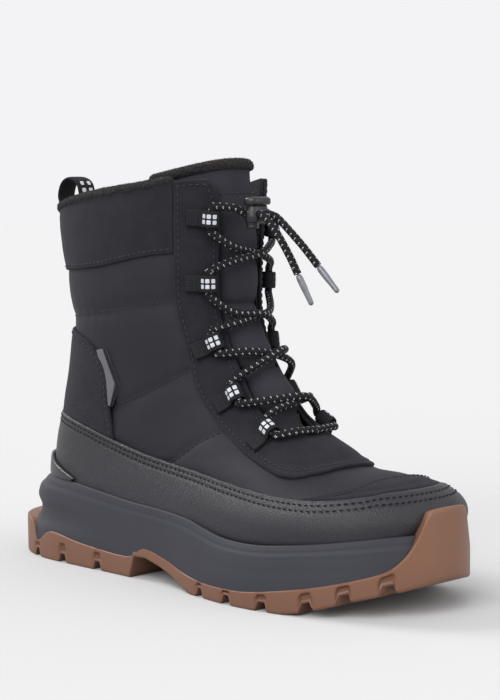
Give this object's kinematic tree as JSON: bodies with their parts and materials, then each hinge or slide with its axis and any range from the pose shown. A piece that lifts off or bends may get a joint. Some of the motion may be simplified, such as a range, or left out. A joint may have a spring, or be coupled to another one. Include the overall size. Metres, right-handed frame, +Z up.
{
  "type": "snow boot",
  "caption": "Right lace-up winter boot: padded nylon shaft with suede overlays, coated rand, foam midsole, lugged gum outsole, toggle lacing.",
  "frame": {"origin": "bottom centre of the boot, on the ground plane under the sole", "axes": "+X from heel to toe, +Z up, the outer side of the foot at -Y"},
  "size_m": [0.2896, 0.112, 0.2161],
  "materials": {
    "nylon": "matte",
    "suede": "matte",
    "coated": "satin",
    "foam": "matte",
    "gum": "satin",
    "webbing": "matte",
    "cord": "matte",
    "plastic": "satin",
    "label": "matte",
    "sleeve": "gloss",
    "footbed": "matte"
  },
  "bodies": {
    "root": {"outsole": "gum", "midsole": "foam", "upper": "nylon", "rand": "coated", "eyestay": "suede", "cuff": "suede", "heel_counter": "suede", "toe_patch": "suede", "side_tag": "label", "insole": "footbed", "tongue": "suede", "heel_clip": "plastic", "pull_loop": "webbing", "lace_loop_lateral_1": "webbing", "lace_loop_lateral_2": "webbing", "lace_loop_lateral_3": "webbing", "lace_loop_lateral_4": "webbing", "lace_loop_lateral_5": "webbing", "lace_loop_medial_1": "webbing", "lace_loop_medial_2": "webbing", "lace_loop_medial_3": "webbing", "lace_loop_medial_4": "webbing", "lace_loop_medial_5": "webbing", "lace": "cord", "cord_lock_body": "plastic", "cord_lock_button": "plastic", "lace_end_lateral": "cord", "lace_end_medial": "cord", "aglet_lateral": "sleeve", "aglet_medial": "sleeve"}
  },
  "joints": []
}
